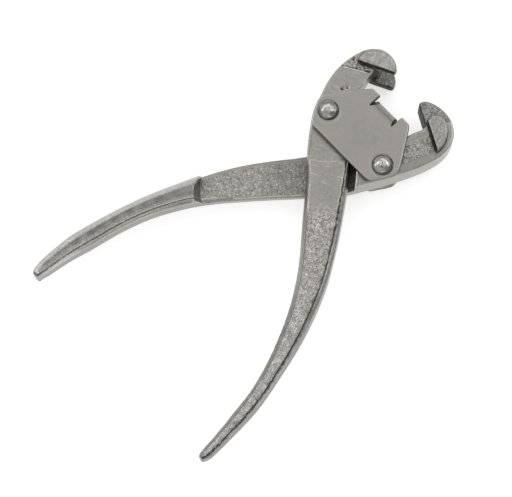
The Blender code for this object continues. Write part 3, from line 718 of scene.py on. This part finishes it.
def build_plate(name, side):
    voxel = 0.24
    low, high = sorted((side * 6.2, side * 8.8))
    co, quads = fine_copy(name, voxel, [(-5.7, 9.0, 2.1, low, high), (5.7, 9.0, 2.1, low, high)])
    edges = edges_of(quads)
    co = relax(co, edges, 1, 0.4)
    outline = outline_of(name, side * 7.5)
    a, b, n = outline
    middle = (a + b) / 2
    hole = (np.linalg.norm(middle - np.array((5.7, 9.0)), axis=1) < 2.4) | (np.linalg.norm(middle - np.array((-5.7, 9.0)), axis=1) < 2.4)
    outline = (a[~hole], b[~hole], n[~hole])
    inside, out_n = to_outline(co[:, :2], outline)
    z = co[:, 2] * side
    lip = smooth01(co[:, 1], 17.0, 18.4) * (np.abs(co[:, 0]) < 7.45)
    # Punched edges roll over on the outer face, and the lip tapers towards its free edge.
    roll = 0.30 * np.clip(1 - inside / 0.9, 0, 1) ** 2.2 * smooth01(z, 7.2, 8.7) * (1 - lip)
    co[:, 2] -= side * roll
    co[:, 0] *= 1 - 0.055 * lip * smooth01(co[:, 1], 16.9, 23.5)
    worn = np.where(co[:, 0] < 0, 2.3, 1.5) * np.clip((co[:, 1] - 17.0) / 5.2, 0, 1.1)
    slot_end = smooth01(np.abs(co[:, 0]) - (7.15 - worn), -0.20, 0.20) * lip * (worn > 0.05)
    co[:, 2] -= side * 0.8 * slot_end * smooth01(z, 7.0, 8.7)
    co[:, 2] -= side * 0.5 * lip * smooth01(co[:, 1], 17.6, 20.4) * smooth01(z, 7.0, 8.7)
    # The plate is drawn in round each rivet, with a shallow set mark.
    for centre in (FORK_RIVET, TONGUE_RIVET):
        r = np.linalg.norm(co[:, :2] - centre - np.array((0.35, -0.35)), axis=1)
        ring = np.exp(-(((r - 5.95) / 0.42) ** 2)) * 0.10
        co[:, 2] -= side * ring * smooth01(z, 8.0, 8.7)
    outer = smooth01(z, 8.2, 8.7)
    co[:, 2] += side * outer * waves(co)
    hole_ring = np.zeros(len(co))
    for centre in ((-5.7, 9.0), (5.7, 9.0)):
        hole_ring += np.exp(-(((np.linalg.norm(co[:, :2] - np.array(centre), axis=1) - 1.85) / 0.15) ** 2))
    co[:, :2] -= out_n * (noise(co, 5.0, 5) * 0.05 * np.exp(-inside / 0.8))[:, None]
    normal = normals_of(co, quads)
    bend = curvature(co, edges, normal, 2)
    # Painted shade: hollows, the lower part of the walls, a ring round each rivet head and a faint ring round each pin.
    grime_and_painted_shade = 0.75 * smooth01(bend / 0.05, 0.3, 1.0) * (inside > 0.5)
    grime_and_painted_shade += 0.30 * (1 - smooth01(np.abs(normal[:, 2]), 0.2, 0.6)) * (1 - lip) * smooth01(z, 8.6, 6.4)
    for centre in (FORK_RIVET, TONGUE_RIVET):
        r = np.linalg.norm(co[:, :2] - centre, axis=1)
        grime_and_painted_shade += 0.75 * np.exp(-(((r - 5.25) / 0.22) ** 2)) * outer
    grime_and_painted_shade += 0.12 * hole_ring * outer
    # Convex edges are painted lighter, as edge wear and highlight.
    wear_and_painted_highlight = np.clip(-bend / 0.04, 0, 1) * 0.15
    flank = 1 - smooth01(np.abs(normal[:, 2]), 0.35, 0.75)
    # The slits beside the lip and the ends of its slot are painted dark as shade in the gaps.
    slit = np.exp(-(((np.abs(co[:, 0]) - 7.5) / 0.55) ** 2)) * smooth01(co[:, 1], 16.2, 17.2) * (z > 5.8)
    grime_and_painted_shade += 0.75 * slit * (1 - 0.35 * (co[:, 0] > 0)) + 0.80 * slot_end * np.clip(0.85 + noise(co, 1.0, 9), 0, 1)
    # Painted shade: the walls and a trough along the lip's root are darker; the lip is a little darker as well.
    trough = np.exp(-(((co[:, 1] - 19.0) / 1.15) ** 2)) * smooth01(np.abs(co[:, 0]), 8.6, 6.6) * (z > 5.8)
    tone_and_painted_shade = 0.60 * flank * (1 - lip) + 0.34 * trough + 0.12 * lip
    for (x, y), r, much in (((7.2, 6.0), 1.7, 0.10), ((-4.6, 5.0), 2.2, 0.05), ((0.5, 2.0), 5.0, 0.04)):
        tone_and_painted_shade += much * np.exp(-(((co[:, 0] - x) / r) ** 2) - ((co[:, 1] - y) / (1.3 * r)) ** 2) * outer * np.clip(0.9 + 1.2 * noise(co, 1.6, 10), 0, 1.6)
    faint = smooth01(noise(co, 2.2, 8), 0.18, 0.40) * np.exp(-(np.linalg.norm(co[:, :2] - np.array((1.5, 3.0)), axis=1) / 5.5) ** 2)
    grain = 0.05 + 0.16 * faint * outer
    layers = dict(grain=grain * np.ones(len(co)), ground=0.55 * np.ones(len(co)), grime_and_painted_shade=np.clip(grime_and_painted_shade, 0, 1), wear_and_painted_highlight=wear_and_painted_highlight, tone_and_painted_shade=tone_and_painted_shade)
    return new_piece(name + "_skin", co, quads, "centre_assembly", [name], plate_steel, layers)


def turned_grid(profile, sides):
    """A closed turned body from (radius, height) pairs that start and end on the axis."""
    pts, quads = [], []
    inner = profile[1:-1]
    for r, h in inner:
        for k in range(sides):
            a = math.tau * k / sides
            pts.append((r * math.cos(a), r * math.sin(a), h))
    first, last = len(pts), len(pts) + 1
    pts += [(0, 0, profile[0][1]), (0, 0, profile[-1][1])]
    for i in range(len(inner) - 1):
        for k in range(sides):
            j = (k + 1) % sides
            quads.append((i * sides + k, (i + 1) * sides + k, (i + 1) * sides + j, i * sides + j))
    for k in range(sides):
        j = (k + 1) % sides
        quads.append((first, k, j, j))
        quads.append((last, (len(inner) - 1) * sides + j, (len(inner) - 1) * sides + k, (len(inner) - 1) * sides + k))
    return np.array(pts, float), np.array(quads)


def build_rivet(name, centre, seed):
    sides, rings = ((96, 30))
    base, skirt, rise, radius = 8.95, 0.45, 2.33, 5.18
    dome = (radius**2 + rise**2) / (2 * rise)
    spread_a = math.asin(radius / dome)
    half = [(0.0, base + skirt + rise)]
    for i in range(1, rings + 1):
        a = spread_a * i / rings
        half.append((dome * math.sin(a), base + skirt + rise - dome * (1 - math.cos(a))))
    half += [(radius + 0.01, base + 0.30), (radius - 0.02, base + 0.12), (radius - 0.16, base), (4.4, base - 0.02), (3.92, base - 0.05)]
    half += [(3.9, h) for h in np.linspace(base - 0.6, 0.4, 10)]
    profile = half + [(r, -h) for r, h in reversed(half)]
    co, quads = turned_grid(profile, sides)
    r = np.linalg.norm(co[:, :2], axis=1)
    up = np.abs(co[:, 2]) > base + 0.2
    sign = np.sign(co[:, 2])
    shift = co + np.array((centre[0], centre[1], 0))
    # Hammer marks: a flattened crown with a ragged dimple, and facets round the dome.
    top = np.exp(-((r / 2.6) ** 2))
    ragged = smooth01(noise(shift, 1.1, seed) + 0.15 * noise(shift, 0.5, seed + 1), 0.05, 0.35)
    drop = 0.16 * top + 0.40 * ragged * np.exp(-((r / 1.35) ** 2)) + 0.10 * np.clip(noise(shift, 2.6, seed + 2), 0, 1)
    facet = np.clip(0.5 - np.abs(r - 3.4) / 1.6, 0, 1) * np.clip(noise(shift, 2.6, seed + 3) + 0.1, 0, 1) * 0.75
    edge_in = 1 - 0.012 * np.clip(noise(shift, 3.5, seed + 4), 0, 1) * (r > 4.6)
    co[:, 2] -= np.where(up, sign * (drop + facet), 0)
    co[:, 0] *= np.where(up, edge_in, 1)
    co[:, 1] *= np.where(up, edge_in, 1)
    smear = smooth01(noise(shift * np.array((1.0, 1.0, 0.3)) @ np.array(((0.673, 0.74, 0), (-0.74, 0.673, 0), (0, 0, 1))).T * np.array((0.45, 1.3, 1)), 1.3, seed + 7), 0.22, 0.5) * (r < 4.0)
    # Painted shade: a dark ring where the head meets the plate, and darker in the crown's dimple; the smear adds darker
    # streaks.
    grime_and_painted_shade = np.clip(np.exp(-(((r - 5.15) / 0.22) ** 2)) * (np.abs(co[:, 2]) < base + 0.55) * 0.9 + 0.45 * smear + 0.75 * ragged * np.exp(-((r / 1.0) ** 2)), 0, 1)
    grain = 0.35 * ragged * np.exp(-((r / 2.2) ** 2)) + 0.06
    co[:, 0] += centre[0]
    co[:, 1] += centre[1]
    # The dome is painted darker away from its crown as shade, with patches of darker tone.
    tone_and_painted_shade = 0.50 * smooth01(r + 1.6 * noise(shift, 1.7, seed + 6), 1.5, 2.5) + 0.16 * smooth01(r, 3.8, 4.9) + 0.4 * np.clip(noise(shift, 2.2, seed + 5), 0, 1)
    layers = dict(grain=grain, ground=0.2 * np.ones(len(co)), grime_and_painted_shade=grime_and_painted_shade, wear_and_painted_highlight=np.zeros(len(co)), tone_and_painted_shade=np.clip(tone_and_painted_shade, 0, 0.8))
    return new_piece(name + "_head", co, quads, "centre_assembly", [name], rivet_steel, layers)


def build_pin(name, centre):
    half = [(0.0, 8.81), (0.9, 8.81), (1.5, 8.81), (1.68, 8.805), (1.74, 8.79), (1.76, 8.72), (1.76, 4.0), (1.76, 0.5)]
    profile = half + [(r, -h) for r, h in reversed(half)]
    co, quads = turned_grid(profile, 48)
    co[:, 0] += centre[0]
    co[:, 1] += centre[1]
    co[:, 2] += np.where(np.abs(co[:, 2]) > 8.0, np.sign(co[:, 2]) * waves(co), 0)
    return new_piece(name + "_flush", co, quads, "centre_assembly", [name], pin_metal, {})


build_fork()
build_tongue()
build_plate("front_plate", 1)
build_plate("back_plate", -1)
build_rivet("rivet_fork", FORK_RIVET, 101)
build_rivet("rivet_tongue", TONGUE_RIVET, 131)
build_pin("anvil_pin_left", (-5.7, 9.0))
build_pin("anvil_pin_right", (5.7, 9.0))
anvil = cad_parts["anvil_block"]
for s in anvil.material_slots:
    s.material = anvil_metal
anvil_edge = anvil.modifiers.new("Broken edges", "BEVEL")
anvil_edge.width = 0.25 * MM
anvil_edge.segments = 2
anvil_edge.limit_method = "ANGLE"


# ---------------------------------------------------------------- floor, light and camera
def plane(name, size, z, mat):
    mesh = bpy.data.meshes.new(name)
    h = size / 2
    mesh.from_pydata([(-h, -h, z), (h, -h, z), (h, h, z), (-h, h, z)], [], [(0, 1, 2, 3)])
    mesh.materials.append(mat)
    obj = bpy.data.objects.new(name, mesh)
    bpy.context.scene.collection.objects.link(obj)
    return obj


paper = bpy.data.materials.new("studio_paper")
paper.use_nodes = True
paper_shader = paper.node_tree.nodes["Principled BSDF"]
paper_shader.inputs["Base Color"].default_value = (0.80, 0.80, 0.80, 1)
paper_shader.inputs["Roughness"].default_value = 0.9
paper_shader.inputs["Specular IOR Level"].default_value = 0.1
paper_shader.inputs["Emission Color"].default_value = (1, 1, 1, 1)
paper_shader.inputs["Emission Strength"].default_value = 0.56
plane("studio_floor", 6.0, -0.01178, paper)

world = bpy.data.worlds.new("studio")
bpy.context.scene.world = world
world.use_nodes = True
sky = world.node_tree.nodes["Background"]
sky_tree = world.node_tree
sky_coords = sky_tree.nodes.new("ShaderNodeTexCoord")
sky_split = sky_tree.nodes.new("ShaderNodeSeparateXYZ")
sky_ramp = sky_tree.nodes.new("ShaderNodeValToRGB")
sky_tree.links.new(sky_coords.outputs["Generated"], sky_split.inputs["Vector"])
sky_tree.links.new(sky_split.outputs["Z"], sky_ramp.inputs["Fac"])
sky_side = sky_tree.nodes.new("ShaderNodeVectorMath")
sky_side.operation = "DOT_PRODUCT"
sky_side.inputs[1].default_value = (0.982, 0.188, 0.0)
sky_tree.links.new(sky_coords.outputs["Generated"], sky_side.inputs[0])
sky_flag = sky_tree.nodes.new("ShaderNodeMapRange")
sky_flag.interpolation_type = "SMOOTHSTEP"
for socket, level in (("From Min", 0.30), ("From Max", 0.72), ("To Min", 1.0), ("To Max", 0.42)):
    sky_flag.inputs[socket].default_value = level
sky_tree.links.new(sky_side.outputs["Value"], sky_flag.inputs["Value"])
sky_mix = sky_tree.nodes.new("ShaderNodeVectorMath")
sky_mix.operation = "SCALE"
sky_tree.links.new(sky_ramp.outputs["Color"], sky_mix.inputs[0])
sky_tree.links.new(sky_flag.outputs["Result"], sky_mix.inputs["Scale"])
sky_tree.links.new(sky_mix.outputs["Vector"], sky.inputs["Color"])
# A white tent, dimmer overhead, where the camera's opening is, with a dark screen on one side.
while len(sky_ramp.color_ramp.elements) < 5:
    sky_ramp.color_ramp.elements.new(0.5)
for element, (position, level) in zip(
    sky_ramp.color_ramp.elements,
    ((0.0, 0.34), (0.30, 0.66), (0.70, 1.02), (0.90, 0.68), (1.0, 0.52)),
):
    element.position = position
    element.color = (level, level, level * 1.01, 1.0)
sky.inputs["Strength"].default_value = 1.0


def area(name, at, aim, size, power, colour=(1, 1, 1)):
    data = bpy.data.lights.new(name, "AREA")
    data.shape = "RECTANGLE"
    data.size, data.size_y = size
    data.energy = power
    data.color = colour
    obj = bpy.data.objects.new(name, data)
    bpy.context.scene.collection.objects.link(obj)
    obj.location = at
    direction = Vector(aim) - Vector(at)
    obj.rotation_mode = "QUATERNION"
    obj.rotation_quaternion = direction.to_track_quat("-Z", "Y")
    return obj


target = Vector((0.00756, -0.07244 - ANVIL_Y * MM, 0.0))
az, el = math.radians(VIEW_AZ), math.radians(VIEW_EL)
right = Vector((math.cos(az), math.sin(az), 0.0))
away = Vector((-math.sin(az), math.cos(az), 0.0))  # up the picture, along the floor
up_z = Vector((0, 0, 1))


def at(x, y, z):
    return target + right * x + away * y + up_z * z


area("softbox_left", at(-0.75, 0.45, 0.95), target, (0.70, 0.55), 1.7, (1.0, 0.99, 0.97))
area("softbox_right", at(0.80, 0.35, 0.85), target, (0.60, 0.45), 1.0, (0.97, 0.99, 1.0))
area("softbox_near", at(0.25, -0.85, 0.80), target, (0.60, 0.30), 0.7)

camera = bpy.data.cameras.new("Camera")
camera_obj = bpy.data.objects.new("Camera", camera)
bpy.context.scene.collection.objects.link(camera_obj)
camera.sensor_fit = "HORIZONTAL"
camera.sensor_width = 36.0
camera.lens = 137.9
camera.clip_start, camera.clip_end = 0.05, 20.0
back = Vector((math.sin(az) * math.cos(el), -math.cos(az) * math.cos(el), math.sin(el)))
camera_obj.location = target + back * 0.95
camera_obj.rotation_mode = "QUATERNION"
camera_obj.rotation_quaternion = Matrix((right, back.cross(right), back)).transposed().to_quaternion()
bpy.context.scene.camera = camera_obj
bpy.context.scene.view_settings.view_transform = "Standard"

bpy.context.view_layer.update()
